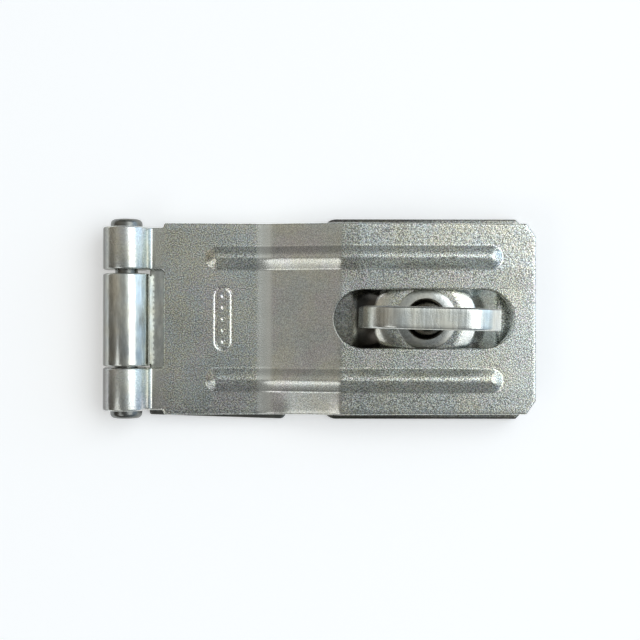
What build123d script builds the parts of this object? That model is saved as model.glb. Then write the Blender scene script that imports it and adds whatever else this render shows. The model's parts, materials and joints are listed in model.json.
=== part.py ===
from build123d import *
from math import asin, atan2, degrees, radians, sqrt, tan
import os

# Swivel-staple safety hasp, closed and lying on its mounting plane.
# Millimetres.  +X runs from the hinge barrel to the free end of the strap, +Y across
# the strap, +Z away from the mounting plane.  The origin is on the mounting plane,
# under the middle of the closed hasp.

# ---- driving dimensions --------------------------------------------------------
overall_length = 89.0          # hinge barrel to the free end of the strap
sheet = 2.4                    # thickness of leaf, strap and staple plate
stack_gap = 0.2                # air between two closed plates
edge_round = 0.35              # rolled-over blanked edges

# hinge
pin_r = 2.34
pin_clearance = 0.06
knuckle_r = pin_r + pin_clearance + sheet
hinge_x = -overall_length / 2 + knuckle_r
hinge_z = knuckle_r
outer_knuckle_end = 18.9       # half the length of the barrel
outer_knuckle_inner = 10.1     # half the space between the two strap knuckles
leaf_knuckle_top = 9.3
leaf_knuckle_bottom = -9.8
strap_roll_end = 325           # degrees round the pin where the strap's roll stops
pin_head_r = 3.3
pin_head_height = 1.65
pin_head_round = 1.0

# hinge leaf
leaf_start_x = hinge_x + 4.45
leaf_end_x = -6.2
leaf_half_width = 19.45
leaf_shift = -0.4              # end play of the hinge, taken up towards -Y
leaf_skew = -1.8               # degrees that its outline is out of square
leaf_corner = 1.2
leaf_hole_x = -20.5
leaf_hole_spacing_x = 15.0
leaf_hole_spacing_y = 25.0

# strap
strap_end_x = overall_length / 2
strap_start_x = hinge_x + 7.65
strap_half_width = 19.85
strap_end_taper = 0.35         # how much narrower each side is at the free end
strap_low_z = sheet + stack_gap
ramp_start_x = -10.6
ramp_end_x = 4.6
ramp_rise = 3.6
low_bend_r = 5.0
high_bend_r = 1.2
tab_bend_r = 0.8
strap_corner_x = 1.9
strap_corner_y = 2.7
slot_x = 21.5
slot_length = 36.5
slot_width = 12.0
bead_start_x = -23.4
bead_end_x = 37.7
bead_y = 12.6
bead_width = 4.5
bead_height = 0.9
bead_wall = 1.2
bead_round = 0.75

# staple plate
staple_x = 22.25
plate_start_x = 1.05
plate_end_x = 42.2
plate_half_width = 20.9
plate_corner_round = 2.6
plate_corner_cut = 0.9
pad_length = 30.8
pad_width = 20.0
pad_rise = 2.1
pad_foot_round = 4.0
pad_top_inset = 0.1            # the pad's top circle ends just inside the boss's wall
boss_r = 10.8
boss_rise = 3.0
boss_flat_r = 6.9
boss_edge_slope = 25.0         # degrees, where the domed shoulder meets the pad
boss_hollow_r = 8.2
plate_hole_spacing_x = 30.0
plate_hole_spacing_y = 29.0

# screw holes, countersunk on the outer side
screw_hole_r = 2.3
screw_head_r = 4.4
screw_head_depth = 1.9

# swivel staple
staple_turn = -1.3             # degrees that it stands off the slot's line
neck_r = 3.3
neck_lap = 1.4                 # how far the neck runs up into the loop
neck_clearance = 0.08
hole_flare_r = 4.1
hole_flare_depth = 0.9
loop_bottom_z = 9.7
loop_top_z = 26.0
loop_thickness = 4.4
loop_half_width = 14.3
loop_top_half_width = 13.0
loop_bottom_round = 2.4
loop_top_round = 7.6
eye_half_width = 9.3
eye_top_half_width = 8.4
eye_bottom_z = 12.5
eye_top_z = 21.7
eye_bottom_round = 1.8
eye_top_round = 4.2
washer_gap = 0.1

# the two washers and the peened tail of the neck
top_washer_r = 6.3
top_washer_thickness = 0.6
low_washer_r = 7.2
low_washer_thickness = 1.0
tail_r = 4.7
tail_bottom_z = 0.3
tail_round = 1.1

# ---- levels worked out from them -------------------------------------------------
strap_high_z = strap_low_z + ramp_rise
boss_top_z = sheet + boss_rise
top_washer_z = boss_top_z + top_washer_thickness
boss_under_z = boss_rise
low_washer_top_z = boss_under_z - washer_gap
low_washer_z = low_washer_top_z - low_washer_thickness
ramp_angle = atan2(ramp_rise, ramp_end_x - ramp_start_x)
sheet_shift = sheet * tan(ramp_angle / 2)
tall = 60.0                    # longer than any part is high
lap = 2.0                      # how far two lengths of one sheet run into each other


def across(section, low_y, high_y):
    """Extrude a section drawn in the XZ plane between two values of Y."""
    solid = extrude(Plane.XZ * section, amount=high_y - low_y, dir=(0, -1, 0))
    return Pos(0, high_y, 0) * solid


def upward(section, height):
    """Extrude a section drawn in the XY plane upward from the mounting plane."""
    return extrude(section, amount=height, dir=(0, 0, 1))


def ring_sector(centre_x, centre_z, inner_r, outer_r, start, end):
    """Part of a ring, between two angles in degrees, as a flat section."""
    centre = Vector(centre_x, centre_z)
    outer = CenterArc(centre, outer_r, start, end - start)
    inner = CenterArc(centre, inner_r, start, end - start)
    sides = [Line(inner @ 0, outer @ 0), Line(inner @ 1, outer @ 1)]
    return make_face(Curve() + [outer, inner] + sides)


def rectangle_between(x0, z0, x1, z1):
    """A rectangle given by two opposite corners."""
    return Pos((x0 + x1) / 2, (z0 + z1) / 2) * Rectangle(x1 - x0, z1 - z0)


def screw_holes(centre_x, spacing_x, spacing_y, top_z):
    """Four countersunk holes at the corners of a rectangle."""
    hole = Pos(0, 0, top_z / 2) * Cylinder(screw_hole_r, top_z + 1)
    sink = Pos(0, 0, top_z - screw_head_depth / 2) * Cone(screw_hole_r, screw_head_r, screw_head_depth)
    return Pos(centre_x, 0, 0) * GridLocations(spacing_x, spacing_y, 2, 2) * (hole + sink)


def round_rim(solid, z, size):
    """Round every edge that lies in the plane at height z."""
    rim = solid.edges().filter_by_position(Axis.Z, z - 0.001, z + 0.001)
    return fillet(rim, size)


# ---- hinge leaf --------------------------------------------------------------------
def make_hinge_leaf():
    outline = rectangle_between(0, -leaf_half_width, leaf_end_x - hinge_x, leaf_half_width)
    outline = fillet(outline.vertices().sort_by(Axis.X)[2:], leaf_corner)
    outline = Pos(hinge_x, leaf_shift) * Rot(0, 0, leaf_skew) * outline
    outline = outline & rectangle_between(leaf_start_x, -tall, leaf_end_x + tall, tall)
    plate = round_rim(upward(outline, sheet), sheet, edge_round)

    seam_angle = -degrees(asin((hinge_z - sheet - stack_gap) / knuckle_r))
    bore_r = pin_r + pin_clearance
    roll = ring_sector(hinge_x, hinge_z, bore_r, knuckle_r, seam_angle, 270)
    tongue = rectangle_between(hinge_x, 0, leaf_start_x + lap, sheet)
    knuckle = across(roll + tongue, leaf_knuckle_bottom, leaf_knuckle_top)
    holes = screw_holes(leaf_hole_x, leaf_hole_spacing_x, leaf_hole_spacing_y, sheet)
    return plate + knuckle - holes


# ---- hinge pin with a peened head at each end -----------------------------------------
def make_hinge_pin():
    shank = Cylinder(pin_r, 2 * outer_knuckle_end)
    head = Cylinder(pin_head_r, pin_head_height)
    head = fillet(head.edges().group_by(Axis.Z)[-1], pin_head_round)
    head = Pos(0, 0, outer_knuckle_end + pin_head_height / 2) * head
    pin = shank + head + Rot(180, 0, 0) * head
    return Pos(hinge_x, 0, hinge_z) * Rot(90, 0, 0) * pin


# ---- strap ---------------------------------------------------------------------------
def strap_line(lift, low_r, high_r):
    """The stepped line of the strap, seen from the side, at a height above its underside."""
    shift = sheet_shift * (1 - lift / sheet)
    points = [
        (strap_start_x, strap_low_z + lift),
        (ramp_start_x + shift, strap_low_z + lift),
        (ramp_end_x + shift, strap_high_z + lift),
        (strap_end_x, strap_high_z + lift),
    ]
    return FilletPolyline(*points, radius=[low_r, high_r])


def strap_section(raise_by):
    """The strap's section along its length, raised by a distance."""
    top = strap_line(sheet, low_bend_r, high_bend_r + sheet)
    under = strap_line(0, low_bend_r + sheet, high_bend_r)
    ends = [Line(top @ 0, under @ 0), Line(top @ 1, under @ 1)]
    return Pos(0, raise_by) * make_face(Curve() + [top, under] + ends)


def strap_outline():
    """The strap seen from above, with cut corners at its free end."""
    end_half = strap_half_width - strap_end_taper
    side = [
        (strap_start_x, strap_half_width),
        (strap_end_x - strap_corner_x, end_half),
        (strap_end_x, end_half - strap_corner_y),
    ]
    points = side + [(x, -y) for x, y in reversed(side)]
    return Polygon(*points, align=None)


def bead_plan(inset):
    """A bead seen from above: a long shape with round ends."""
    length = bead_end_x - bead_start_x - 2 * inset
    width = bead_width - 2 * inset
    centre_x = (bead_start_x + bead_end_x) / 2
    return Pos(centre_x, 0) * SlotOverall(length, width)


def make_bead():
    """One pressed bead that follows the step of the strap."""
    raised = across(strap_section(bead_height), -bead_width, bead_width)
    bead = raised & upward(bead_plan(0), tall)
    crown = ShapeList(face for face in bead.faces() if face.normal_at().Z > 0.5)
    rim = crown.edges().filter_by(Axis.Y, reverse=True)
    return fillet(rim, bead_round)


def strap_knuckle_section():
    """A strap knuckle: the sheet turns up from the tab and rolls over the pin."""
    tab_top = strap_low_z + sheet
    bend_z = tab_top + tab_bend_r
    reach = knuckle_r + tab_bend_r
    bend_x = sqrt(reach ** 2 - (bend_z - hinge_z) ** 2)
    meet = degrees(asin((bend_z - hinge_z) / reach))
    roll = ring_sector(hinge_x, hinge_z, pin_r, knuckle_r, meet, strap_roll_end)
    turn = ring_sector(hinge_x + bend_x, bend_z, tab_bend_r, tab_bend_r + sheet, 180 + meet, 270)
    tab = rectangle_between(hinge_x + bend_x, strap_low_z, strap_start_x + lap, tab_top)
    return roll + turn + tab


def make_hasp_strap():
    body = across(strap_section(0), -strap_half_width, strap_half_width)
    body = body & upward(strap_outline(), tall)

    slot = upward(Pos(slot_x, 0) * SlotOverall(slot_length, slot_width), tall)
    body = body - slot
    body = round_rim(body, strap_high_z + sheet, edge_round)

    bead = make_bead()
    under = across(strap_section(bead_height - sheet), -bead_width, bead_width)
    hollow = under & upward(bead_plan(bead_wall), tall)
    for side in (-1, 1):
        body = body - Pos(0, side * bead_y, 0) * hollow
        body = body + Pos(0, side * bead_y, 0) * bead

    knuckle = strap_knuckle_section()
    body = body + across(knuckle, outer_knuckle_inner, outer_knuckle_end)
    return body + across(knuckle, -outer_knuckle_end, -outer_knuckle_inner)


# ---- staple plate ----------------------------------------------------------------------
def make_pad(low_z, high_z):
    """The pad: straight foot edges that slope up to the round boss."""
    foot = Pos(0, 0, low_z) * RectangleRounded(pad_length, pad_width, pad_foot_round)
    top = Pos(0, 0, high_z) * Circle(boss_r - pad_top_inset)
    return loft([foot, top])


def make_boss():
    """A round boss: a flat top with a shallow domed shoulder round it."""
    drop = (boss_r - boss_flat_r) * tan(radians(boss_edge_slope / 2))
    edge = (boss_r, boss_top_z - drop)
    crown = (boss_flat_r, boss_top_z)
    shoulder = TangentArc(crown, edge, tangent=(1, 0))
    rest = Polyline(edge, (boss_r, 0), (0, 0), (0, boss_top_z), crown)
    return revolve(Plane.XZ * make_face(Curve() + [shoulder, rest]), Axis.Z)


def make_staple_plate():
    outline = rectangle_between(plate_start_x, -plate_half_width, plate_end_x, plate_half_width)
    left = outline.vertices().sort_by(Axis.X)[:2]
    outline = fillet(left, plate_corner_round)
    right = outline.vertices().sort_by(Axis.X)[-2:]
    outline = chamfer(right, plate_corner_cut)
    plate = round_rim(upward(outline, sheet), sheet, edge_round)

    boss = make_boss() + make_pad(sheet, sheet + pad_rise)
    plate = plate + Pos(staple_x, 0, 0) * boss

    hollow = Pos(0, 0, boss_under_z / 2) * Cylinder(boss_hollow_r, boss_under_z)
    neck_hole = Cylinder(neck_r + neck_clearance, tall)
    flare_mid = boss_top_z - hole_flare_depth / 2
    flare = Pos(0, 0, flare_mid) * Cone(neck_r + neck_clearance, hole_flare_r, hole_flare_depth)
    plate = plate - Pos(staple_x, 0, 0) * (hollow + neck_hole + flare)
    return plate - screw_holes(staple_x, plate_hole_spacing_x, plate_hole_spacing_y, sheet)


# ---- swivel staple ------------------------------------------------------------------------
def arch(half_width, top_half_width, low_z, high_z, low_round, high_round):
    """A closed arch shape: straight foot, leaning sides, widely rounded top corners."""
    points = [
        (-half_width, low_z),
        (half_width, low_z),
        (top_half_width, high_z),
        (-top_half_width, high_z),
    ]
    shape = Polygon(*points, align=None)
    shape = fillet(shape.vertices().group_by(Axis.Y)[0], low_round)
    return fillet(shape.vertices().group_by(Axis.Y)[-1], high_round)


def make_swivel_staple():
    outer = arch(loop_half_width, loop_top_half_width, loop_bottom_z, loop_top_z,
                 loop_bottom_round, loop_top_round)
    eye = arch(eye_half_width, eye_top_half_width, eye_bottom_z, eye_top_z,
               eye_bottom_round, eye_top_round)
    loop = across(outer - eye, -loop_thickness / 2, loop_thickness / 2)
    loop = fillet(loop.edges().group_by(Axis.Y)[0] + loop.edges().group_by(Axis.Y)[-1], edge_round)

    neck_top_z = loop_bottom_z + neck_lap
    neck = Pos(0, 0, (neck_top_z + low_washer_z) / 2) * Cylinder(neck_r, neck_top_z - low_washer_z)
    tail_height = low_washer_z - tail_bottom_z
    tail = Pos(0, 0, tail_bottom_z + tail_height / 2) * Cylinder(tail_r, tail_height)
    tail = fillet(tail.edges().group_by(Axis.Z)[0], tail_round)
    return Pos(staple_x, 0, 0) * Rot(0, 0, staple_turn) * (loop + neck + tail)


# ---- washers --------------------------------------------------------------------------------
def make_washer(inner_r, outer_r, low_z, high_z):
    thickness = high_z - low_z
    ring = Cylinder(outer_r, thickness) - Cylinder(inner_r, thickness)
    return Pos(staple_x, 0, (low_z + high_z) / 2) * ring


pieces = {
    "hinge_leaf": make_hinge_leaf(),
    "hinge_pin": make_hinge_pin(),
    "hasp_strap": make_hasp_strap(),
    "staple_plate": make_staple_plate(),
    "swivel_staple": make_swivel_staple(),
    "thrust_washer": make_washer(hole_flare_r, top_washer_r, boss_top_z, top_washer_z),
    "retaining_washer": make_washer(neck_r, low_washer_r, low_washer_z, low_washer_top_z),
}

os.makedirs("parts", exist_ok=True)
for name, piece in pieces.items():
    export_step(piece, f"parts/{name}.step")
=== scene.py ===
import json
from math import atan2, ceil, cos, exp, hypot, pi, radians, sin, sqrt, tan

import bmesh
import bpy
from mathutils import Matrix, Vector
from mathutils.geometry import delaunay_2d_cdt
from mathutils.kdtree import KDTree


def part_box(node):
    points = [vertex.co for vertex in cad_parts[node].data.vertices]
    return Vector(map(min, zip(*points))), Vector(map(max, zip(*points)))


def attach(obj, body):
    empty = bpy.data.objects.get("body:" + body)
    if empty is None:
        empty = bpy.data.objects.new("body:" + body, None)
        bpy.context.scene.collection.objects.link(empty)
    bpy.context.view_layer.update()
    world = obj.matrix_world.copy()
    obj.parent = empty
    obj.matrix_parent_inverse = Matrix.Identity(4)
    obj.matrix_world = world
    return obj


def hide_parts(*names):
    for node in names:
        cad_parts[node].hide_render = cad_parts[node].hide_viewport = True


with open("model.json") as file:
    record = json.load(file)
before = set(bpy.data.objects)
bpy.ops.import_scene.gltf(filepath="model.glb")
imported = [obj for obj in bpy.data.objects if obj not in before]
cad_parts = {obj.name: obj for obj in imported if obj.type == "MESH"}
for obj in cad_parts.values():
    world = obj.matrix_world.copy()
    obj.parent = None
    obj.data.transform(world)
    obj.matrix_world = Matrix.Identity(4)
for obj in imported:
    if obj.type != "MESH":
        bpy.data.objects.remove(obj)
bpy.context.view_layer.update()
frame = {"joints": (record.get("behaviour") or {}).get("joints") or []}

# Lengths are millimetres in the frame's axes, and Shape.make turns them into metres.
MM = 0.001

# ---- places that come from the frame ------------------------------------------------
joints = {joint["name"]: joint for joint in frame["joints"]}
HINGE_X = joints["strap_hinge"]["pos_m"][0] / MM
HINGE_Z = joints["strap_hinge"]["pos_m"][2] / MM
STAPLE_X = joints["staple_turn"]["pos_m"][0] / MM
BOSS_TOP = joints["staple_turn"]["pos_m"][2] / MM


def low_corner(node):
    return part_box(node)[0] / MM


def high_corner(node):
    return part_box(node)[1] / MM


KNUCKLE_R = HINGE_X - low_corner("hasp_strap").x
BARREL_END = low_corner("hinge_pin").y          # outer end of the lower peened head

# ---- sizes that the pieces share ----------------------------------------------------
SHEET = 2.4
GAP = 0.2                                       # air between two closed plates
RIM = 0.4                                       # rolled-over blanked edges
CORNER = 0.5                                    # smallest corner of an outline, above RIM
ARC_STEPS = 5                                   # facets across a small rounded edge
ROLL_STEPS = 96                                 # facets round a knuckle
FINE_STEP, COARSE_STEP = 0.3, 0.5               # spacing of points along outlines
STRAP_GRID, PLATE_GRID, BACK_GRID = 0.8, 1.2, 1.5    # spacing of grid lines
CLEARANCE = 0.14                                # between grid points and an outline
SMALLEST_GAP = 0.05                             # between two grid lines
LEDGE = 0.01                                    # between the two rings of a square step

# ---- strap --------------------------------------------------------------------------
STRAP_END = high_corner("hasp_strap").x
STRAP_START = HINGE_X + 7.65
STRAP_HALF = high_corner("hasp_strap").y
STRAP_TAPER = 0.35
STRAP_CORNER = (1.9, 2.7)
STRAP_LOW = SHEET + GAP
SLOT_RIM = 0.3
RAMP_START, RAMP_END, RAMP_RISE = -10.6, 4.6, 3.6
LOW_BEND, HIGH_BEND = 1.7, 0.5                  # half the length of each bend
TAB_INNER, TAB_OUTER = 10.1, 18.9
TAB_BEND_R = 0.8
ROLL_END = 325                                  # degrees where the strap's roll stops
SLOT_X, SLOT_LENGTH, SLOT_WIDTH = 21.5, 36.5, 12.0
BEAD_START, BEAD_END, BEAD_Y = -23.4, 37.7, 12.6
BEAD_HALF = 2.45
BEAD_WALL = 1.2                                 # how much narrower the groove under a bead is
BEAD_HEIGHT, BEAD_CROWN = 0.88, 0.33            # the crown's roundness is a share of the half width
BEAD_DEPTH = 0.6                                # of the groove under a bead
MARK_X, MARK_HALF_X, MARK_HALF_Y = -19.6, 1.7, 6.4
MARK_DEPTH, MARK_LINE = 0.12, 0.22
MARK_PIPS, MARK_PIP_R = 5, 1.7 * MARK_LINE
BOW_RISE = 0.17                                 # of the sheet between the slot and the +Y bead
BOW_CHANGE = (RAMP_END - 2, RAMP_END + 4)       # where along X the rise comes in
LOW_FALL, RAMP_FALL, HIGH_FALL = 0.08, 0.36, 0.16    # of the -Y margin, and where it changes
RAMP_FALL_CHANGE = (RAMP_START + 1, RAMP_START + 5)
HIGH_FALL_CHANGE = (RAMP_END - 2.5, RAMP_END + 0.5)

# ---- leaf ---------------------------------------------------------------------------
LEAF_START = HINGE_X + 4.45
LEAF_END = -6.2
LEAF_HALF = 19.45
LEAF_SHIFT = -0.4                               # hinge's end play, taken up towards -Y
LEAF_SKEW = radians(-1.8)
LEAF_CORNER = 1.2
LEAF_KNUCKLE = (-9.8, 9.3)
LEAF_HOLES = (-20.5, 15.0, 25.0)                # middle, and spacing in X and Y
SCREW_R, SCREW_HEAD_R, SCREW_SINK = 2.3, 4.4, 1.9

# ---- pin ----------------------------------------------------------------------------
PIN_R = 2.34
PEEN_ROUND = 1.0
PEEN_RING, PEEN_RING_SINK = 0.8, 0.03           # the struck end is a little hollow
PEEN_HUB_R, PEEN_HUB_SINK = 0.6, 0.12

# ---- staple plate -------------------------------------------------------------------
PLATE_START = low_corner("staple_plate").x
PLATE_END = high_corner("staple_plate").x
PLATE_HALF = high_corner("staple_plate").y
PLATE_ROUND, PLATE_CUT = 2.6, 0.9
PLATE_HOLES = (STAPLE_X, 30.0, 29.0)
PAD_HALF_X, PAD_HALF_Y = 15.4, 10.0
PAD_FOOT_SOFT = 0.16                            # how gently the slope leaves the plate
PAD_RISE = 2.1
BOSS_R, BOSS_FLAT_R = 10.8, 6.9
BOSS_EDGE_SLOPE = radians(25)                   # where the domed shoulder meets the pad
HOLLOW_R, HOLLOW_Z = 8.2, 3.0
NECK_HOLE_R, FLARE_R, FLARE_DEPTH = 3.38, 4.1, 0.9

# ---- staple -------------------------------------------------------------------------
STAPLE_TURN = radians(-1.3)
NECK_R = 3.3
LOOP_THICKNESS = 4.4
LOOP_EDGE = 0.5
OUTER_ARCH = (14.3, 13.0, 9.7, 26.0, 2.4, 7.6)  # half widths, levels and rounds, low then high
EYE_ARCH = (9.3, 8.4, 12.5, 21.7, 1.8, 4.2)
ARCH_POINTS, ARCH_STEPS = 260, 24               # points round the arch, and steps in its corners
SIDE_STEPS, FACE_STEPS = 3, 5                   # across half the loop's side, and across its face
SHOULDER_RISE, SHOULDER_SINK = 2.4, 0.4         # where the neck runs into the loop
TAIL_R, TAIL_ROUND = 4.7, 1.1


# ---- plane figures ------------------------------------------------------------------
def arc(centre, radius, start, end, steps):
    """Points of an arc between two angles in radians."""
    angles = [start + (end - start) * i / steps for i in range(steps + 1)]
    return [Vector((centre[0] + radius * cos(a), centre[1] + radius * sin(a))) for a in angles]


def rounded(corners, radii, steps=8):
    """A closed outline whose corners are rounded, each with its own radius."""
    outline = []
    for i, corner in enumerate(corners):
        here = Vector(corner)
        back = (Vector(corners[i - 1]) - here).normalized()
        ahead = (Vector(corners[(i + 1) % len(corners)]) - here).normalized()
        if radii[i] == 0:
            outline.append(here)
            continue
        half = back.angle(ahead) / 2
        centre = here + (back + ahead).normalized() * radii[i] / sin(half)
        first = here + back * radii[i] / tan(half) - centre
        sweep = pi - 2 * half
        if back.cross(ahead) > 0:
            sweep = -sweep
        for k in range(steps + 1):
            outline.append(centre + Matrix.Rotation(sweep * k / steps, 2) @ first)
    return outline


def divided(outline, step):
    """The same closed outline with extra points, no further apart than step."""
    points = []
    for i, here in enumerate(outline):
        there = outline[(i + 1) % len(outline)]
        count = max(1, ceil((there - here).length / step))
        points += [here.lerp(there, k / count) for k in range(count)]
    return [p for i, p in enumerate(points) if (p - points[i - 1]).length > 1e-6]


def spaced(outline, count):
    """A closed outline walked in equal steps."""
    lengths = [(outline[(i + 1) % len(outline)] - p).length for i, p in enumerate(outline)]
    step = sum(lengths) / count
    points, i, along = [], 0, 0.0
    for k in range(count):
        while k * step > along + lengths[i] and i < len(outline) - 1:
            along += lengths[i]
            i += 1
        share = min(1.0, (k * step - along) / max(lengths[i], 1e-9))
        points.append(outline[i].lerp(outline[(i + 1) % len(outline)], share))
    return points


def inset(outline, amount):
    """An outline moved to its left, which is into the metal."""
    moved = []
    for i, here in enumerate(outline):
        ahead = (outline[(i + 1) % len(outline)] - here).normalized()
        behind = (here - outline[i - 1]).normalized()
        first = Vector((-behind.y, behind.x))
        second = Vector((-ahead.y, ahead.x))
        moved.append(here + (first + second) * amount / (1 + first.dot(second)))
    return moved


def stadium(centre_x, length, width, steps=36):
    """A slot's outline, walked clockwise so that the metal is on its left."""
    r = width / 2
    reach = length / 2 - r
    right = arc((centre_x + reach, 0), r, pi / 2, -pi / 2, steps)
    left = arc((centre_x - reach, 0), r, -pi / 2, -3 * pi / 2, steps)
    return right + left


def circle(centre, radius, steps=64):
    """A hole's outline, walked clockwise."""
    return arc(centre, radius, 0, -2 * pi, steps)[:-1]


def in_hole(place, hole):
    """Whether a place is inside a hole, whose outline is convex and walked clockwise."""
    sides = zip(hole, hole[1:] + hole[:1])
    return all((there - here).cross(place - here) <= 0 for here, there in sides)


def quarter(size, steps=ARC_STEPS):
    """Inset and drop along a rounded edge, from its side to its face."""
    angles = [pi / 2 * k / steps for k in range(steps + 1)]
    return [(size * (1 - cos(a)), size * (1 - sin(a))) for a in angles]


def share_between(value, start, end):
    """How far a value is on its way from start to end, held between 0 and 1."""
    return max(0.0, min(1.0, (value - start) / (end - start)))


def smooth(t):
    """An even S between 0 and 1."""
    t = min(1.0, max(0.0, t))
    return t * t * (3 - 2 * t)


def eased(value, start, end):
    """0 before start, 1 after end and a smooth change between them."""
    return smooth(share_between(value, start, end))


def level(z):
    """The height of a flat face."""
    return lambda x, y: z


def lines(low, high, step, dense=()):
    """Grid lines from low to high, closer together inside each dense (from, to, step)."""
    found = []
    here = low
    while here < high:
        found.append(here)
        near = [fine for start, end, fine in dense if start <= here < end]
        ahead = [start - here for start, end, fine in dense if start > here]
        here += min([min(near) if near else step] + [a for a in ahead if a > SMALLEST_GAP])
    return found + [high]


def grid_places(outlines, x_lines, y_lines):
    """Places of a grid that are clear of all the outlines and outside the holes among them."""
    edge_points = [place for outline in outlines for place in outline]
    tree = KDTree(len(edge_points))
    for i, place in enumerate(edge_points):
        tree.insert(place.to_3d(), i)
    tree.balance()
    grid = [Vector((x, y)) for x in x_lines for y in y_lines]
    clear = [place for place in grid if tree.find(place.to_3d())[2] > CLEARANCE]
    return [place for place in clear if not any(in_hole(place, hole) for hole in outlines[1:])]


# ---- meshes -------------------------------------------------------------------------
class Shape:
    """Points and faces of one piece, in millimetres."""

    def __init__(self):
        self.points = []
        self.faces = []

    def point(self, x, y, z):
        self.points.append(Vector((x, y, z)))
        return len(self.points) - 1

    def ring(self, points):
        return [self.point(*p) for p in points]

    def bridge(self, rings, around=True, closed=False):
        """Quads between rings that follow each other; closed joins the last to the first."""
        pairs = list(zip(rings, rings[1:]))
        if closed:
            pairs.append((rings[-1], rings[0]))
        for a, b in pairs:
            for i in range(len(a) if around else len(a) - 1):
                j = (i + 1) % len(a)
                self.faces.append((a[i], a[j], b[j], b[i]))

    def fill(self, rings, x_lines, y_lines, height):
        """A face between closed rings, with a grid of points at the height of each place."""
        known = [i for ring in rings for i in ring]
        owner = {i: number for number, ring in enumerate(rings) for i in ring}
        outlines = [[self.points[i].xy for i in ring] for ring in rings]
        edges = []
        for ring in rings:
            start, count = len(edges), len(ring)
            edges += [(start + k, start + (k + 1) % count) for k in range(count)]
        inner = grid_places(outlines, x_lines, y_lines)
        flat = [place for outline in outlines for place in outline] + inner
        triangles, sources = delaunay_2d_cdt(flat, edges, [], 2, 1e-6)[2:4]
        ids = dict(enumerate(known))
        for triangle in triangles:
            own = [sources[v][0] for v in triangle]
            for source in own:
                if source not in ids:
                    x, y = inner[source - len(known)]
                    ids[source] = self.point(x, y, height(x, y))
            corners = [ids[source] for source in own]
            owners = {owner.get(i, 0) for i in corners}
            if len(owners) > 1 or owners == {0}:        # not across a hole
                self.faces.append(corners)

    def sweep(self, line, half_thickness, low_y, high_y, rim):
        """A strip of sheet that follows a line of (place, normal), with rounded ends in Y."""
        low = [(low_y + drop, side) for side, drop in reversed(quarter(rim))]
        high = [(high_y - drop, side) for side, drop in quarter(rim)]
        rings = []
        for y, shrink in low + high:
            half = half_thickness - shrink
            over = [place + normal * half for place, normal in line]
            under = [place - normal * half for place, normal in reversed(line)]
            rings.append(self.ring([(p.x, y, p.y) for p in over + under]))
        self.bridge(rings)
        count = len(line)
        for ring in (rings[0], rings[-1]):
            over, under = ring[:count], ring[count:][::-1]
            self.bridge([over, under], around=False)

    def lathe(self, profile, place, steps=72, closed=False):
        """A profile of (radius, height) turned round; place puts (x, y, height) in the frame."""
        turns = [2 * pi * k / steps for k in range(steps)]
        rings = []
        for radius, height in profile:
            rings.append(self.ring([place(radius * cos(a), radius * sin(a), height) for a in turns]))
        self.bridge(rings, closed=closed)
        if not closed:
            self.faces += [rings[0], rings[-1]]

    def make(self, name, body, node, material, sharp=32):
        """The finished piece, riding on its body in place of its CAD node."""
        mesh = bpy.data.meshes.new(name)
        mesh.from_pydata([p * MM for p in self.points], [], self.faces)
        work = bmesh.new()
        work.from_mesh(mesh)
        bmesh.ops.recalc_face_normals(work, faces=work.faces)
        work.to_mesh(mesh)
        work.free()
        mesh.polygons.foreach_set("use_smooth", [True] * len(mesh.polygons))
        mesh.set_sharp_from_angle(angle=radians(sharp))
        mesh.materials.append(material)
        piece = bpy.data.objects.new(name, mesh)
        bpy.context.scene.collection.objects.link(piece)
        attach(piece, body)
        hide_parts(node)
        return piece


def edge_wall(shape, outline, top, under, size=RIM):
    """Rings down a plate's side, with a rounded edge at each face."""
    rings = []
    for side, drop in reversed(quarter(size)):
        rings.append(shape.ring([(p.x, p.y, top(p.x, p.y) - drop) for p in inset(outline, side)]))
    for side, drop in quarter(size):
        rings.append(shape.ring([(p.x, p.y, under(p.x, p.y) + drop) for p in inset(outline, side)]))
    shape.bridge(rings)
    return rings


def sunk_hole(shape, centre, top_z, under_z):
    """Rings of a countersunk screw hole, from the outer face to the back."""
    soft = 0.12
    profile = [
        (SCREW_HEAD_R + soft, top_z),
        (SCREW_HEAD_R, top_z - soft / 3),
        (SCREW_HEAD_R - soft, top_z - soft),
        (SCREW_R, top_z - SCREW_SINK),
        (SCREW_R, under_z + soft),
        (SCREW_R + soft, under_z),
    ]
    rings = [shape.ring([(*p, z) for p in circle(centre, r)]) for r, z in profile]
    shape.bridge(rings)
    return rings


def hole_centres(holes):
    """Four places at the corners of a rectangle."""
    middle, spacing_x, spacing_y = holes
    return [(middle + i * spacing_x / 2, j * spacing_y / 2) for i in (-1, 1) for j in (-1, 1)]


# ---- strap --------------------------------------------------------------------------
def softened(s, half):
    """Zero before a bend, s after it, and a parabola between."""
    if s <= -half:
        return 0.0
    if s >= half:
        return s
    return (s + half) ** 2 / (4 * half)


def step_height(x, shift):
    """Rise of the stepped strap at x. The underside's bends lie shift further on."""
    slope = RAMP_RISE / (RAMP_END - RAMP_START)
    low = softened(x - RAMP_START - shift, LOW_BEND)
    high = softened(x - RAMP_END - shift, HIGH_BEND)
    return slope * (low - high)


def bead_away(x, y):
    """Distance from the middle line of the nearer bead."""
    along = min(max(x, BEAD_START + BEAD_HALF), BEAD_END - BEAD_HALF)
    return hypot(x - along, abs(y) - BEAD_Y)


def bead_height(x, y):
    """Height that the two beads add: even flanks under a rounded crown."""
    share = min(1.0, bead_away(x, y) / BEAD_HALF)
    foot = hypot(1, BEAD_CROWN)
    return BEAD_HEIGHT * (foot - hypot(share, BEAD_CROWN)) / (foot - BEAD_CROWN)


def bead_hollow(x, y):
    """Depth of the groove under a bead."""
    return BEAD_DEPTH * smooth(1 - bead_away(x, y) / (BEAD_HALF - BEAD_WALL))


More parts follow.
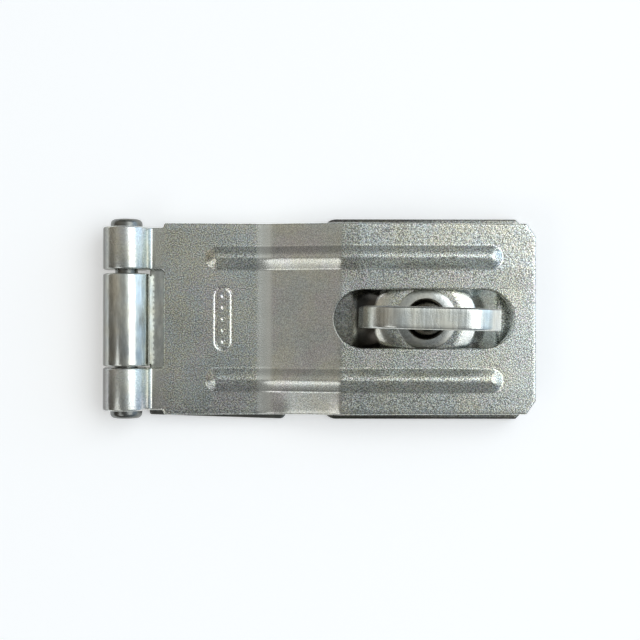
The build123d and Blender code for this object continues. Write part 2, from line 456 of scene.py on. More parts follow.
def mark_depth(x, y):
    """A plain pressed mark: a round-ended border with a row of round pips in it."""
    reach = MARK_HALF_Y - MARK_HALF_X
    away = hypot(x - MARK_X, y - max(-reach, min(reach, y)))
    depth = exp(-((away - MARK_HALF_X) / MARK_LINE) ** 2)
    for k in range(MARK_PIPS):
        pip_y = reach * (2 * k / (MARK_PIPS - 1) - 1)
        depth += exp(-(hypot(x - MARK_X, y - pip_y) / MARK_PIP_R) ** 4)
    return MARK_DEPTH * min(1.0, depth)


def bow(x, y):
    """Pressing the beads leaves the sheet a little uneven across its width."""
    rise = BOW_RISE * share_between(y, SLOT_WIDTH / 2, BEAD_Y - BEAD_HALF)
    rise *= eased(x, *BOW_CHANGE)
    fall = LOW_FALL + (RAMP_FALL - LOW_FALL) * eased(x, *RAMP_FALL_CHANGE)
    fall += (HIGH_FALL - RAMP_FALL) * eased(x, *HIGH_FALL_CHANGE)
    return rise - fall * share_between(-y, BEAD_Y + BEAD_HALF - 0.3, STRAP_HALF)


def strap_top(x, y):
    raised = STRAP_LOW + SHEET + step_height(x, 0) + bead_height(x, y) + bow(x, y)
    return raised - mark_depth(x, y)


def strap_under(x, y):
    """The underside. A shift of its bends keeps the ramp as thick as the flats."""
    shift = SHEET * tan(atan2(RAMP_RISE, RAMP_END - RAMP_START) / 2)
    return STRAP_LOW + step_height(x, shift) + bead_hollow(x, y) + bow(x, y)


def tab_bend_centre():
    """Centre of the small bend between a tab and its knuckle."""
    z = STRAP_LOW + SHEET + TAB_BEND_R
    reach = KNUCKLE_R + TAB_BEND_R
    return Vector((HINGE_X + sqrt(reach ** 2 - (z - HINGE_Z) ** 2), z))


def strap_outline():
    """The strap from above, with its two tabs, walked counterclockwise."""
    cut_x, cut_y = STRAP_CORNER
    end_half = STRAP_HALF - STRAP_TAPER
    tab_x = tab_bend_centre().x
    right = [(STRAP_END - cut_x, end_half), (STRAP_START, STRAP_HALF), (STRAP_START, TAB_OUTER)]
    upper = right + [(tab_x, TAB_OUTER), (tab_x, TAB_INNER), (STRAP_START, TAB_INNER)]
    upper = [(STRAP_END, end_half - cut_y)] + upper
    lower = [(x, -y) for x, y in reversed(upper)]
    radii = [CORNER] * len(upper)
    return divided(rounded(upper + lower, radii + radii, 5), FINE_STEP)


def roll(start, end):
    """Middle line of a roll over the pin between two angles, as (place, normal)."""
    centre = Vector((HINGE_X, HINGE_Z))
    line = []
    for k in range(ROLL_STEPS + 1):
        a = start + (end - start) * k / ROLL_STEPS
        out = Vector((cos(a), sin(a)))
        line.append((centre + out * (KNUCKLE_R - SHEET / 2), out))
    return line


def strap_knuckle_line():
    """Middle line of the tab's bend and of its roll, as (place, normal)."""
    bend = tab_bend_centre()
    meet = atan2(bend.y - HINGE_Z, bend.x - HINGE_X)
    start = Vector((bend.x + RIM, STRAP_LOW + SHEET / 2))
    line = [(start, Vector((0, 1)))]
    for place in arc(bend, TAB_BEND_R + SHEET / 2, -pi / 2, meet - pi, 12):
        line.append((place, (bend - place).normalized()))
    return line + roll(meet, radians(ROLL_END))[1:]


def make_strap(material):
    shape = Shape()
    walls = [edge_wall(shape, strap_outline(), strap_top, strap_under)]
    slot = divided(stadium(SLOT_X, SLOT_LENGTH, SLOT_WIDTH), FINE_STEP)
    walls.append(edge_wall(shape, slot, strap_top, strap_under, SLOT_RIM))
    flank = BEAD_HALF + 0.3
    # Finer lines over the beads, the two bends and the mark: from, to and step.
    x_dense = [
        (BEAD_START - 0.2, BEAD_START + 2 * flank, 0.2),
        (RAMP_START - LOW_BEND - 0.3, RAMP_START + LOW_BEND + 0.6, 0.25),
        (RAMP_END - HIGH_BEND - 0.3, RAMP_END + HIGH_BEND + 0.6, 0.15),
        (BEAD_END - 2 * flank, BEAD_END + 0.2, 0.2),
        (MARK_X - MARK_HALF_X - 0.7, MARK_X + MARK_HALF_X + 0.7, 0.13),
    ]
    y_dense = [(-MARK_HALF_Y - 0.7, MARK_HALF_Y + 0.7, 0.2)]
    for y in (-BEAD_Y, BEAD_Y):
        y_dense.append((y - BEAD_HALF - 0.2, y + BEAD_HALF + 0.2, 0.2))
    x_lines = lines(tab_bend_centre().x + 0.5, STRAP_END - 0.5, STRAP_GRID, x_dense)
    y_lines = lines(-STRAP_HALF + 0.5, STRAP_HALF - 0.5, STRAP_GRID, y_dense)
    shape.fill([wall[0] for wall in walls], x_lines, y_lines, strap_top)
    shape.fill([wall[-1] for wall in walls], x_lines, y_lines, strap_under)
    knuckle = strap_knuckle_line()
    shape.sweep(knuckle, SHEET / 2, TAB_INNER, TAB_OUTER, RIM)
    shape.sweep(knuckle, SHEET / 2, -TAB_OUTER, -TAB_INNER, RIM)
    return shape.make("hasp_strap_plate", "strap", "hasp_strap", material)


# ---- leaf ---------------------------------------------------------------------------
def leaf_outline():
    """The leaf from above: a rectangle a little out of square, cut straight at the barrel."""
    far = LEAF_END - HINGE_X
    corners = []
    for x, y in ((far, -LEAF_HALF), (far, LEAF_HALF)):
        turned = Matrix.Rotation(LEAF_SKEW, 2) @ Vector((x, y))
        corners.append(Vector((turned.x + HINGE_X, turned.y + LEAF_SHIFT)))
    drop = tan(LEAF_SKEW) * (LEAF_START - HINGE_X) + LEAF_SHIFT
    edge = LEAF_HALF / cos(LEAF_SKEW)
    near = [(LEAF_START, edge + drop), (LEAF_START, -edge + drop)]
    return divided(rounded(corners + near, [LEAF_CORNER, LEAF_CORNER, CORNER, CORNER]), COARSE_STEP)


def leaf_knuckle_line():
    """Middle line of the leaf's tongue and of its roll, as (place, normal)."""
    drop = HINGE_Z - SHEET - GAP
    seam = -atan2(drop, sqrt(KNUCKLE_R ** 2 - drop ** 2))
    start = Vector((LEAF_START + RIM, SHEET / 2))
    foot = Vector((HINGE_X, SHEET / 2))
    tongue = [(start.lerp(foot, k / 6), Vector((0, -1))) for k in range(6)]
    return tongue + roll(radians(270), seam)


def make_leaf(material):
    shape = Shape()
    walls = [edge_wall(shape, leaf_outline(), level(SHEET), level(0.0))]
    walls += [sunk_hole(shape, centre, SHEET, 0.0) for centre in hole_centres(LEAF_HOLES)]
    x_lines = lines(LEAF_START + 0.6, LEAF_END, PLATE_GRID)
    y_lines = lines(-LEAF_HALF, LEAF_HALF, PLATE_GRID)
    shape.fill([wall[0] for wall in walls], x_lines, y_lines, level(SHEET))
    shape.fill([wall[-1] for wall in walls], x_lines, y_lines, level(0.0))
    shape.sweep(leaf_knuckle_line(), SHEET / 2, *LEAF_KNUCKLE, RIM)
    return shape.make("hinge_leaf_plate", "hinge_base", "hinge_leaf", material)


# ---- pin ----------------------------------------------------------------------------
def make_pin(material):
    """The pin's shank and its two peened heads."""
    head_r = (high_corner("hinge_pin").x - low_corner("hinge_pin").x) / 2
    end = -BARREL_END
    half = [(PIN_R, 0.5), (PIN_R, TAB_OUTER - LEDGE), (head_r, TAB_OUTER)]
    half += [(head_r - side, end - drop) for side, drop in quarter(PEEN_ROUND)]
    half.append((head_r - PEEN_ROUND - PEEN_RING, end - PEEN_RING_SINK))
    half.append((PEEN_HUB_R, end - PEEN_HUB_SINK))
    profile = [(r, -y) for r, y in reversed(half)] + half
    shape = Shape()
    shape.lathe(profile, lambda x, z, y: (HINGE_X + x, y, HINGE_Z + z))
    return shape.make("hinge_pin_peened", "strap", "hinge_pin", material)


# ---- staple plate -------------------------------------------------------------------
def pad_height(x, y):
    """The pad slopes from the round boss down to straight foot edges."""
    to_foot = min(PAD_HALF_X - abs(x - STAPLE_X), PAD_HALF_Y - abs(y))
    if to_foot <= 0:
        return 0.0
    to_boss = max(0.0, hypot(x - STAPLE_X, y) - BOSS_R)
    share = hypot(to_foot / (to_foot + to_boss), PAD_FOOT_SOFT) - PAD_FOOT_SOFT
    return PAD_RISE * share / (hypot(1, PAD_FOOT_SOFT) - PAD_FOOT_SOFT)


def boss_height(x, y):
    """The round boss: a flat top with a shallow domed shoulder."""
    away = hypot(x - STAPLE_X, y)
    dome_r = (BOSS_R - BOSS_FLAT_R) / sin(BOSS_EDGE_SLOPE)
    if away >= BOSS_R:
        return 0.0
    out = max(0.0, away - BOSS_FLAT_R)
    return BOSS_TOP - SHEET - dome_r + sqrt(dome_r ** 2 - out ** 2)


def plate_top(x, y):
    return SHEET + max(pad_height(x, y), boss_height(x, y))


def plate_outline():
    """The plate from above: two round corners, and two that are cut a little."""
    left, right, half = PLATE_START, PLATE_END, PLATE_HALF
    cut = PLATE_CUT
    corners = [
        (left, -half),
        (right - cut, -half),
        (right, -half + cut),
        (right, half - cut),
        (right - cut, half),
        (left, half),
    ]
    radii = [PLATE_ROUND] + [CORNER] * 4 + [PLATE_ROUND]
    return divided(rounded(corners, radii), COARSE_STEP)


def neck_hole(shape):
    """Rings of the flared hole in the boss and of the round hollow behind it."""
    soft = 0.15
    profile = [
        (FLARE_R + soft, BOSS_TOP),
        (FLARE_R - soft, BOSS_TOP - soft),
        (NECK_HOLE_R, BOSS_TOP - FLARE_DEPTH),
        (NECK_HOLE_R, HOLLOW_Z),
        (HOLLOW_R, HOLLOW_Z),
        (HOLLOW_R, soft),
        (HOLLOW_R + soft, 0.0),
    ]
    rings = [shape.ring([(*p, z) for p in circle((STAPLE_X, 0), r, 96)]) for r, z in profile]
    shape.bridge(rings)
    return rings


def make_plate(material):
    shape = Shape()
    walls = [edge_wall(shape, plate_outline(), level(SHEET), level(0.0))]
    walls += [sunk_hole(shape, centre, SHEET, 0.0) for centre in hole_centres(PLATE_HOLES)]
    walls.append(neck_hole(shape))
    # Finer lines over the pad and the boss: from, to and step.
    x_dense = [(STAPLE_X - PAD_HALF_X - 0.3, STAPLE_X + PAD_HALF_X + 0.4, 0.25)]
    y_dense = [(-BOSS_R - 0.4, BOSS_R + 0.4, 0.25)]
    x_lines = lines(PLATE_START + 0.6, PLATE_END - 0.6, PLATE_GRID, x_dense)
    y_lines = lines(-PLATE_HALF + 0.6, PLATE_HALF - 0.6, PLATE_GRID, y_dense)
    shape.fill([wall[0] for wall in walls], x_lines, y_lines, plate_top)
    coarse = lines(PLATE_START + 0.6, PLATE_END - 0.6, BACK_GRID)
    shape.fill([wall[-1] for wall in walls], coarse, coarse, level(0.0))
    return shape.make("staple_plate_boss", "staple_base", "staple_plate", material)


# ---- staple -------------------------------------------------------------------------
def arch(half, top_half, low_z, high_z, low_round, high_round, count):
    """A closed arch in (x, z), walked counterclockwise from the middle of its foot."""
    corners = [(0, low_z), (half, low_z), (top_half, high_z), (-top_half, high_z), (-half, low_z)]
    radii = [0, low_round, high_round, high_round, low_round]
    return spaced(rounded(corners, radii, ARCH_STEPS), count)


def loop_rings(shape, count):
    """Rings round the loop's section: outer side, one face, the eye's side, the other face."""
    outer, eye = arch(*OUTER_ARCH, count), arch(*EYE_ARCH, count)
    outer_edge, eye_edge = inset(outer, LOOP_EDGE), inset(eye, -LOOP_EDGE)
    half = LOOP_THICKNESS / 2
    levels = [(half - LOOP_EDGE) * k / SIDE_STEPS for k in range(SIDE_STEPS + 1)]
    upper = [(outer, y) for y in levels]
    upper += [(inset(outer, side), half - drop) for side, drop in quarter(LOOP_EDGE)[1:]]
    for k in range(1, FACE_STEPS):
        upper.append(([a.lerp(b, k / FACE_STEPS) for a, b in zip(outer_edge, eye_edge)], half))
    upper += [(inset(eye, -side), half - drop) for side, drop in reversed(quarter(LOOP_EDGE))]
    upper += [(eye, y) for y in reversed(levels[:-1])]
    lower = [(outline, -y) for outline, y in reversed(upper[1:-1])]
    return [shape.ring([(p.x, y, p.y) for p in outline]) for outline, y in upper + lower]


def make_staple(material):
    """The flat eye, its round neck and the peened tail."""
    shape = Shape()
    shape.bridge(loop_rings(shape, ARCH_POINTS), closed=True)
    washer_under = low_corner("retaining_washer").z
    tail_low = low_corner("swivel_staple").z
    shoulder_z = OUTER_ARCH[2]
    shoulder_r = LOOP_THICKNESS / 2 - 0.1       # the neck runs into the loop's thickness
    profile = [(0.5, tail_low), (TAIL_R - TAIL_ROUND, tail_low)]
    profile += [(TAIL_R - side, tail_low + up) for up, side in quarter(TAIL_ROUND, 6)[1:]]
    profile += [(TAIL_R, washer_under - LEDGE), (NECK_R, washer_under)]
    profile.append((NECK_R, shoulder_z - SHOULDER_SINK))
    for up, out in quarter(1, 8)[1:]:
        wide = shoulder_r + (NECK_R - shoulder_r) * out
        profile.append((wide, shoulder_z + SHOULDER_RISE * up))
    shape.lathe(profile, lambda x, y, z: (x, y, z))
    turn = Matrix.Rotation(STAPLE_TURN, 3, "Z")
    shape.points = [turn @ p + Vector((STAPLE_X, 0, 0)) for p in shape.points]
    return shape.make("swivel_staple_eye", "staple", "swivel_staple", material)


# ---- washers ------------------------------------------------------------------------
def make_washer(node, body, inner_r, material):
    """A flat ring with softened edges, the size of its CAD node."""
    low, high = low_corner(node), high_corner(node)
    outer_r = (high.x - low.x) / 2
    soft = 0.2
    profile = [
        (inner_r, low.z),
        (outer_r - soft / 2, low.z),
        (outer_r, low.z + soft / 2),
        (outer_r, high.z - soft),
        (outer_r - soft * 0.3, high.z - soft * 0.3),
        (outer_r - soft, high.z),
        (inner_r + soft, high.z),
        (inner_r, high.z - soft),
    ]
    shape = Shape()
    shape.lathe(profile, lambda x, y, z: (STAPLE_X + x, y, z), closed=True)
    return shape.make(node + "_ring", body, node, material)


# ---- materials ----------------------------------------------------------------------
class Nodes:
    """Short ways to add nodes to a tree. A value can be a number, a colour or an output."""

    def __init__(self, tree):
        self.tree = tree

    def add(self, kind, **settings):
        node = self.tree.nodes.new(kind)
        for key, value in settings.items():
            setattr(node, key, value)
        return node

    def link(self, source, target):
        self.tree.links.new(source, target)

    def give(self, value, socket):
        if isinstance(value, bpy.types.NodeSocket):
            self.link(value, socket)
        else:
            socket.default_value = value

    def ranged(self, source, low, high, to_low, to_high, kind="LINEAR"):
        """A value moved from one range to another, and held inside it."""
        node = self.add("ShaderNodeMapRange", interpolation_type=kind)
        ends = {"From Min": low, "From Max": high, "To Min": to_low, "To Max": to_high}
        for key, value in ends.items():
            node.inputs[key].default_value = value
        self.link(source, node.inputs["Value"])
        return node.outputs["Result"]

    def mixed(self, factor, first, second, blend="MIX"):
        """Two colours mixed."""
        node = self.add("ShaderNodeMix", data_type="RGBA", blend_type=blend)
        for value, socket in zip((factor, first, second), (0, 6, 7)):
            self.give(value, node.inputs[socket])
        return node.outputs[2]

    def joined(self, operation, *values):
        """The result of a math operation."""
        node = self.add("ShaderNodeMath", operation=operation)
        for value, socket in zip(values, node.inputs):
            self.give(value, socket)
        return node.outputs[0]

    def product(self, a, b):
        return self.joined("MULTIPLY", a, b)

    def highest(self, a, b):
        return self.joined("MAXIMUM", a, b)

    def split(self, vector):
        """The x, y and z of a vector."""
        node = self.add("ShaderNodeSeparateXYZ")
        self.link(vector, node.inputs[0])
        return node.outputs


class Finish(Nodes):
    """A material, metal at first. Its places are points of the object, in metres."""

    def __init__(self, name):
        self.material = bpy.data.materials.new(name)
        self.material.use_nodes = True
        super().__init__(self.material.node_tree)
        self.shader = self.tree.nodes["Principled BSDF"]
        self.shader.inputs["Metallic"].default_value = 1.0
        self.place = self.add("ShaderNodeTexCoord").outputs["Object"]

    def moved(self, **changes):
        """The place after a mapping."""
        node = self.add("ShaderNodeMapping")
        for key, value in changes.items():
            node.inputs[key].default_value = value
        self.link(self.place, node.inputs["Vector"])
        return node.outputs["Vector"]

    def noise(self, scale, detail=2.0, stretch=(1, 1, 1)):
        """Noise with a scale in features per metre, stretched along the axes."""
        node = self.add("ShaderNodeTexNoise")
        node.inputs["Scale"].default_value = scale
        node.inputs["Detail"].default_value = detail
        self.link(self.moved(Scale=stretch), node.inputs["Vector"])
        return node

    def axes(self):
        return self.split(self.place)

    def fade(self, along, start, end, first, last):
        """A value that changes from first to last between two places, in millimetres."""
        return self.ranged(along, start * MM, end * MM, first, last)

    def away(self, x):
        """Distance from the upright line at x on the X axis, given in millimetres."""
        node = self.add("ShaderNodeVectorMath", operation="LENGTH")
        self.link(self.moved(Scale=(1, 1, 0), Location=(-x * MM, 0, 0)), node.inputs[0])
        return node.outputs["Value"]

    def bump(self, height, distance, strength=1.0, after=None):
        node = self.add("ShaderNodeBump")
        node.inputs["Distance"].default_value = distance
        self.give(strength, node.inputs["Strength"])
        self.link(height, node.inputs["Height"])
        if after is not None:
            self.link(after, node.inputs["Normal"])
        return node.outputs["Normal"]


def shade(value, tint=(1, 1, 1)):
    """A grey with a tint."""
    return (value * tint[0], value * tint[1], value * tint[2], 1)


ZINC_TINT = (1.0, 1.01, 0.955)
BLUE, YELLOW, PINK = (0.92, 1.0, 1.05), (1.04, 1.04, 0.91), (1.08, 0.93, 1.05)
SOFT_BLUE, SOFT_YELLOW, SOFT_PINK = (0.97, 1.0, 1.03), (1.03, 1.01, 0.95), (1.03, 0.97, 1.03)
PAINTED_SHADE = (0.035, 0.03, 0.026, 1)                 # dark colour for painted shade in recesses and on shaded edges and sides
NECK_SHADE = (0.10, 0.075, 0.045, 1)                   # painted shade on the staple's neck under the loop, tinted tan
BEND_HIGHLIGHT = 1.9                                 # how far the painted highlight at the bend reaches, in mm
SPECKLE, CRYSTAL, FILM = 4400, 5200, 2900       # sizes of patterns, in features per metre
CLOUD, WIDE_FILM = 160, 130
STREAK, SOFT_CLOUD, FINE_GRAIN = 1500, 230, 3600
DARK_GRAIN, LIGHT_GRAIN = 0.32, 1.42            # shares of the zinc's tone
DARK_STREAK, LIGHT_STREAK = 0.84, 1.08
SPECKLE_RANGE, CLOUD_RANGE, STREAK_RANGE = (0.38, 0.62), (0.3, 0.7), (0.35, 0.65)
SPECKLE_BUMP, CRYSTAL_BUMP = 0.00004, 0.00003   # metres


def tinted(finish, hue, tints):
    """A patchy mix of three tints that follows a coloured noise."""
    first, second, third = (shade(1, tint) for tint in tints)
    split = finish.add("ShaderNodeSeparateColor")
    finish.link(hue, split.inputs[0])
    film = finish.mixed(finish.ranged(split.outputs[0], 0.4, 0.6, 0, 1), first, second)
    return finish.mixed(finish.ranged(split.outputs[1], 0.5, 0.66, 0, 0.7), film, third)


def zinc(name, grain, tone, rough, grained, painted_light):
    """Bright zinc plate: crystalline speckle, faint colour film, clouding and fine bump."""
    finish = Finish(name)
    speckle = finish.noise(SPECKLE).outputs[0]
    crystal = finish.add("ShaderNodeTexVoronoi")
    crystal.inputs["Scale"].default_value = CRYSTAL
    finish.link(finish.place, crystal.inputs["Vector"])
    cloud = finish.noise(CLOUD, 4).outputs[0]
    mask = grained(finish)

    dark, light = shade(tone * DARK_GRAIN, ZINC_TINT), shade(tone * LIGHT_GRAIN, ZINC_TINT)
    grey = finish.mixed(finish.ranged(speckle, *SPECKLE_RANGE, 0, 1), dark, light)
    grey = finish.mixed(finish.ranged(cloud, *CLOUD_RANGE, 0, 0.2), grey, shade(tone, ZINC_TINT))
    grey = finish.mixed(finish.ranged(mask, 0, 1, 0.75, 0), grey, shade(tone * 0.94, ZINC_TINT))
    film = tinted(finish, finish.noise(FILM).outputs[1], (BLUE, YELLOW, PINK))
    colour = finish.mixed(finish.ranged(mask, 0, 1, 0.15, 1), grey, film, "MULTIPLY")
    soft_tints = (SOFT_BLUE, SOFT_YELLOW, SOFT_PINK)
    wide = tinted(finish, finish.noise(WIDE_FILM, 3).outputs[1], soft_tints)
    # The last colour step adds painted shade and painted highlights.
    colour = painted_light(finish, finish.mixed(1.0, colour, wide, "MULTIPLY"))
    finish.link(colour, finish.shader.inputs["Base Color"])
    finish.link(finish.ranged(cloud, *CLOUD_RANGE, *rough), finish.shader.inputs["Roughness"])

    strength = finish.ranged(mask, 0, 1, 0, grain)
    height = finish.product(crystal.outputs["Distance"], speckle)
    fine = finish.bump(speckle, SPECKLE_BUMP, strength)
    normal = finish.bump(height, CRYSTAL_BUMP, strength, fine)
    finish.link(normal, finish.shader.inputs["Normal"])
    return finish.material


def painted_edge_shade(finish, colour, half, amount):
    """Painted shade along the sheared long edges, where the strap shades them."""
    side = finish.joined("ABSOLUTE", finish.axes()[1])
    mask = finish.fade(side, half - 1.3, half - 0.3, 0, amount)
    return finish.mixed(mask, colour, PAINTED_SHADE)


def painted_barrel_shade(finish, colour):
    """Painted shade on the barrel's outer side, away from the strap."""
    outer = HINGE_X - KNUCKLE_R
    mask = finish.fade(finish.axes()[0], outer + 0.6, outer + 1.9, 0.8, 0)
    return finish.mixed(mask, colour, PAINTED_SHADE)


def strap_bend_highlight_and_shade(finish, colour):
    """Painted shade on the barrel's outer side, and a painted highlight in a band where the sheet
    was bent upwards.
    """
    x = finish.axes()[0]
    start, end = RAMP_START - BEND_HIGHLIGHT, RAMP_START + BEND_HIGHLIGHT / 2
    band = finish.product(
        finish.fade(x, start - 0.5, start + 0.5, 0, 0.85),
        finish.fade(x, end - 0.5, end + 0.5, 1, 0),
    )
    return painted_barrel_shade(finish, finish.mixed(band, colour, shade(0.92, ZINC_TINT)))


def painted_leaf_shade(finish, colour):
    """Painted shade on the leaf's two sheared edges and on its part of the barrel."""
    return painted_barrel_shade(finish, painted_edge_shade(finish, colour, LEAF_HALF + 0.2, 0.72))


def painted_lower_shade(finish, colour):
    """Painted shade: the -Y side round the staple's neck is a little darker."""
    mask = finish.fade(finish.axes()[1], -5.0, -0.5, 0.38, 0)
    return finish.mixed(mask, colour, PAINTED_SHADE)


def painted_plate_shade(finish, colour):
    """Painted shade on the low ground and on the pad's slope, most on the hinge side, and in the
    hole.
    """
    x, _, z = finish.axes()
    away = finish.away(STAPLE_X)
    near, far = STAPLE_X - 4, STAPLE_X + 4
    low = finish.fade(z, SHEET + 0.1, SHEET + 0.4, 1, 0)
    ground = finish.product(low, finish.fade(x, near, far, 0.55, 0))
    raised = finish.fade(z, SHEET + 0.1, SHEET + 0.4, 0, 1)
    slope = finish.fade(away, BOSS_R - 0.3, BOSS_R + 0.2, 0, 1)
    slope = finish.product(slope, finish.fade(x, near, far, 0.93, 0.2))
    hole = finish.fade(away, FLARE_R - 0.1, FLARE_R + 0.15, 0.85, 0)
    colour = finish.mixed(ground, colour, PAINTED_SHADE)
    colour = finish.mixed(finish.product(raised, slope), colour, PAINTED_SHADE)
    colour = finish.mixed(hole, painted_lower_shade(finish, colour), PAINTED_SHADE)
    return painted_edge_shade(finish, colour, PLATE_HALF, 0.6)


def painted_staple_shade(finish, colour):
    """Painted shade: the neck is dark and tan-tinted under the loop, and a dark line runs along the
    loop's +Y rim.
    """
    foot = OUTER_ARCH[2]
    neck = finish.product(
        finish.fade(finish.axes()[2], foot + 1.2, foot + 2.2, 0.85, 0),
        finish.fade(finish.away(STAPLE_X), NECK_R + 0.1, NECK_R + 0.4, 1, 0),
    )
    colour = finish.mixed(neck, colour, NECK_SHADE)
    back = STAPLE_X * MM * sin(STAPLE_TURN)
    turned = finish.moved(Rotation=(0, 0, -STAPLE_TURN), Location=(0, back, 0))
    across = finish.split(turned)[1]
    face = LOOP_THICKNESS / 2
    inner = finish.fade(across, face - 0.42, face - 0.25, 0, 0.7)
    outer = finish.fade(across, face - 0.06, face - 0.02, 1, 0)
    return finish.mixed(finish.product(inner, outer), colour, PAINTED_SHADE)


def strap_grain(finish):
    """Where the strap is grained: its rolled tabs and its ramp are smoother."""
    x = finish.axes()[0]
    soft = 1.2
    after_tab = finish.fade(x, STRAP_START - soft, STRAP_START + soft, 0.12, 1)
    before_ramp = finish.fade(x, RAMP_START - soft, RAMP_START + soft, 1, 0.25)
    past_ramp = finish.fade(x, RAMP_END - soft / 4, RAMP_END + soft / 4, 0, 1)
    return finish.product(after_tab, finish.highest(before_ramp, past_ramp))


def plate_grain(finish):
    """Where the plate is grained: its ground and the boss's flat top."""
    z = finish.axes()[2]
    ground = finish.fade(z, SHEET + 0.05, SHEET + 0.3, 1, 0.1)
    flat = finish.fade(z, BOSS_TOP - 0.2, BOSS_TOP - 0.03, 0, 1)
    return finish.highest(ground, flat)


def drawn_zinc(name, stretch, tone, rough, depth, painted_light=None):
    """Zinc over a rolled or sheared face: streaks one way, soft clouding and a colour film."""
    finish = Finish(name)
    streak = finish.noise(STREAK, 3, stretch).outputs[0]
    cloud = finish.noise(SOFT_CLOUD, 3).outputs[0]
    fine = finish.noise(FINE_GRAIN).outputs[0]
    dark, light = shade(tone * DARK_STREAK, ZINC_TINT), shade(tone * LIGHT_STREAK, ZINC_TINT)
    grey = finish.mixed(finish.ranged(streak, *STREAK_RANGE, 0, 1), dark, light)
    hue = finish.ranged(cloud, *STREAK_RANGE, 0, 1)
    film = finish.mixed(hue, shade(1, SOFT_BLUE), shade(1, SOFT_YELLOW))
    colour = finish.mixed(1.0, grey, film, "MULTIPLY")
    # This step adds painted shade.
    if painted_light is not None:
        colour = painted_light(finish, colour)
    finish.link(colour, finish.shader.inputs["Base Color"])
    finish.link(finish.ranged(cloud, *CLOUD_RANGE, *rough), finish.shader.inputs["Roughness"])
    first = finish.bump(streak, depth, 0.5)
    finish.link(finish.bump(fine, depth / 2, 0.4, first), finish.shader.inputs["Normal"])
    return finish.material


# ---- pieces -------------------------------------------------------------------------
sheet_zinc = zinc(
    "zinc_sheet_grained", grain=0.5, tone=0.68, rough=(0.2, 0.28),
    grained=strap_grain, painted_light=strap_bend_highlight_and_shade,
)
leaf_zinc = drawn_zinc(
    "zinc_leaf", stretch=(1, 0.25, 1), tone=0.66, rough=(0.16, 0.24), depth=0.00002, painted_light=painted_leaf_shade
)
plate_zinc = zinc(
    "zinc_plate_grained", grain=0.3, tone=0.72, rough=(0.12, 0.2),
    grained=plate_grain, painted_light=painted_plate_shade,
)
pin_zinc = drawn_zinc(
    "zinc_pin_dull", stretch=(1, 1, 1), tone=0.22, rough=(0.22, 0.34), depth=0.00005
)
staple_zinc = drawn_zinc(
    "zinc_staple_sheared", stretch=(1, 0.12, 0.6), tone=0.74, rough=(0.2, 0.3), depth=0.00006,
    painted_light=painted_staple_shade,
)
washer_zinc = drawn_zinc(
    "zinc_washer_turned", stretch=(1, 1, 1), tone=0.58, rough=(0.24, 0.32), depth=0.00003,
    painted_light=painted_lower_shade,
)

make_strap(sheet_zinc)
make_leaf(leaf_zinc)
make_pin(pin_zinc)
make_plate(plate_zinc)
make_staple(staple_zinc)
make_washer("thrust_washer", "staple_base", FLARE_R, washer_zinc)
make_washer("retaining_washer", "staple", NECK_R, washer_zinc)


# ---- studio -------------------------------------------------------------------------
# Lengths here are metres.
FLOOR_SIZE, FLOOR_Z = 60, -0.0002               # so wide that its edge is near the horizon
FLOOR_GLOW = 0.33
WORLD_LEVEL = 0.46
WORLD_GREY = (0.96, 1.0, 0.99, 1)
# axis of the direction, where the change starts and ends, and the levels there
WORLD_CHANGES = (
    (1, -0.18, 0.14, 0.42, 1.05),
    (1, 0.50, 0.74, 1.0, 0.5),
    (0, -0.98, -0.62, 0.5, 1.0),
    (0, -0.06, 0.20, 0.9, 1.7),
    (0, 0.70, 0.88, 1.0, 1.7),
)
# where along X a tint starts and is full, and the tint
WORLD_TINTS = ((-0.1, -0.75, (1.07, 1.0, 0.88, 1)), (0.1, 0.75, (0.78, 0.98, 1.20, 1)))


def make_floor():
    """A wide sheet of pale paper under the object."""
    bpy.ops.mesh.primitive_plane_add(size=FLOOR_SIZE, location=(0, 0, FLOOR_Z))
    floor = bpy.context.object
    floor.name = "floor"
    finish = Finish("floor_paper")
    shader = finish.shader
    shader.inputs["Metallic"].default_value = 0.0
    shader.inputs["Roughness"].default_value = 0.85
    shader.inputs["Base Color"].default_value = shade(0.95)
    shader.inputs["Emission Color"].default_value = shade(1)
    shader.inputs["Emission Strength"].default_value = FLOOR_GLOW
    floor.data.materials.append(finish.material)


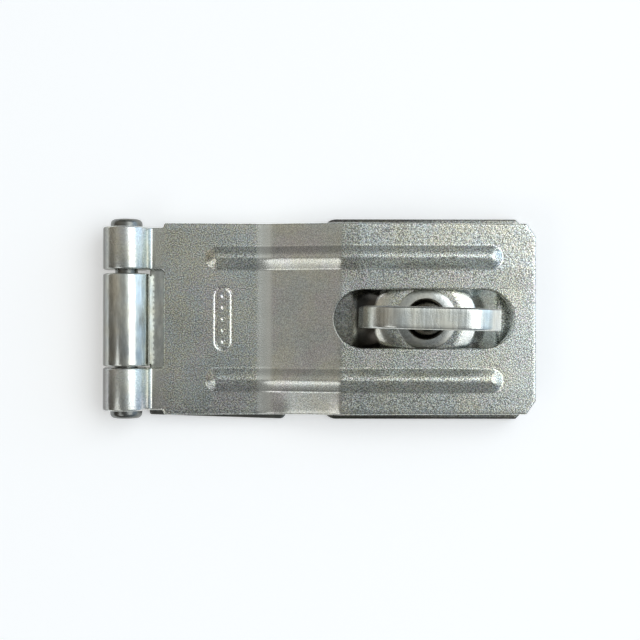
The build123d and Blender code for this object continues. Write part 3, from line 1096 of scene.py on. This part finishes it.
def softbox(name, azimuth, tilt, distance, width, height, radiance, colour):
    """A rectangular light at an angle from straight up, facing the object."""
    light = bpy.data.lights.new(name, "AREA")
    light.shape = "RECTANGLE"
    light.size, light.size_y = width, height
    light.energy = radiance * pi * width * height
    light.color = colour
    lamp = bpy.data.objects.new(name, light)
    bpy.context.scene.collection.objects.link(lamp)
    round_z, up = radians(azimuth), radians(tilt)
    towards = Vector((sin(up) * cos(round_z), sin(up) * sin(round_z), cos(up)))
    lamp.location = towards * distance
    lamp.rotation_euler = (-towards).to_track_quat("-Z", "Y").to_euler()


def make_world():
    """Soft grey surround: lighter towards +X and +Y, darker towards -Y and low on the -X side."""
    world = bpy.data.worlds.new("studio")
    bpy.context.scene.world = world
    world.use_nodes = True
    nodes = Nodes(world.node_tree)
    direction = nodes.split(nodes.add("ShaderNodeTexCoord").outputs["Generated"])
    brightness = WORLD_LEVEL
    for axis, *change in WORLD_CHANGES:
        share = nodes.ranged(direction[axis], *change, kind="SMOOTHSTEP")
        brightness = nodes.product(share, brightness)
    colour = WORLD_GREY
    for start, end, tint in WORLD_TINTS:
        colour = nodes.mixed(nodes.ranged(direction[0], start, end, 0, 1), colour, tint)
    background = world.node_tree.nodes["Background"]
    nodes.link(brightness, background.inputs["Strength"])
    nodes.link(colour, background.inputs["Color"])


def make_camera():
    """Almost straight down on the closed hasp, leaning a little towards its -Y side."""
    pixels, sensor = 640, 36.0
    scale = 0.00021115                          # metres per pixel on the mounting plane
    distance = 1200.0                           # in those pixels
    data = bpy.data.cameras.new("camera")
    data.sensor_width = sensor
    data.lens = sensor * distance / pixels
    data.clip_start = 0.01
    camera = bpy.data.objects.new("camera", data)
    bpy.context.scene.collection.objects.link(camera)
    turn = Matrix.Rotation(radians(0.3), 4, "X") @ Matrix.Rotation(radians(0.07), 4, "Z")
    back = Matrix.Translation((0, 0, distance * scale))
    camera.matrix_world = Matrix.Translation((0.00039, -0.0002, 0)) @ turn @ back
    bpy.context.scene.camera = camera


bpy.context.scene.view_settings.view_transform = "Standard"
make_floor()
make_world()
softbox(
    "key", azimuth=13, tilt=34, distance=1.0, width=1.1, height=0.62, radiance=1.6,
    colour=(1.0, 1.0, 0.98),
)
softbox(
    "fill", azimuth=219, tilt=43, distance=1.0, width=0.62, height=0.44, radiance=1.15,
    colour=(0.97, 0.99, 1.0),
)
make_camera()
